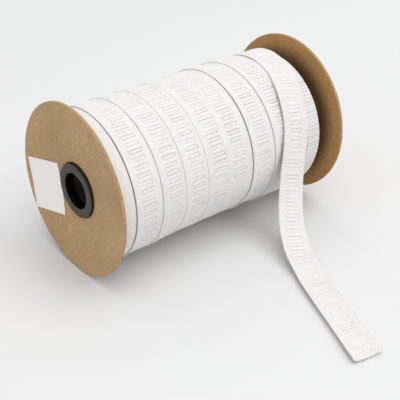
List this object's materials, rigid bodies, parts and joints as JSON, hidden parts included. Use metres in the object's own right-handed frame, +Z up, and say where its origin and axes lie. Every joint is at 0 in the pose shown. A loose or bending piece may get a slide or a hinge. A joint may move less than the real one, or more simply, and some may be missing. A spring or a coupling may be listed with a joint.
{
  "type": "roll of elastic",
  "caption": "White ribbed flat elastic wound in overlapping laps on a reel with two dished board discs and a moulded tube; its loose end runs off over the front and lies flat.",
  "frame": {"origin": "middle of the box round everything, on the surface the reel and the loose end lie on", "axes": "+X along the reel's axis, away from the labelled disc; -Y towards the loose end's cut; +Z up"},
  "size_m": [0.176, 0.2256, 0.107],
  "materials": {
    "kraft_board": "uncoated kraft chipboard, fine speckle",
    "moulded_core": "satin moulded",
    "knitted_elastic": "knitted elastic with a ribbed middle band and plain borders",
    "label_paper": "matt self-adhesive paper"
  },
  "bodies": {
    "root": {"flange_left": "kraft_board", "flange_right": "kraft_board", "core_tube": "moulded_core", "elastic_roll": "knitted_elastic", "elastic_loose_end": "knitted_elastic", "flange_label": "label_paper"}
  },
  "joints": []
}
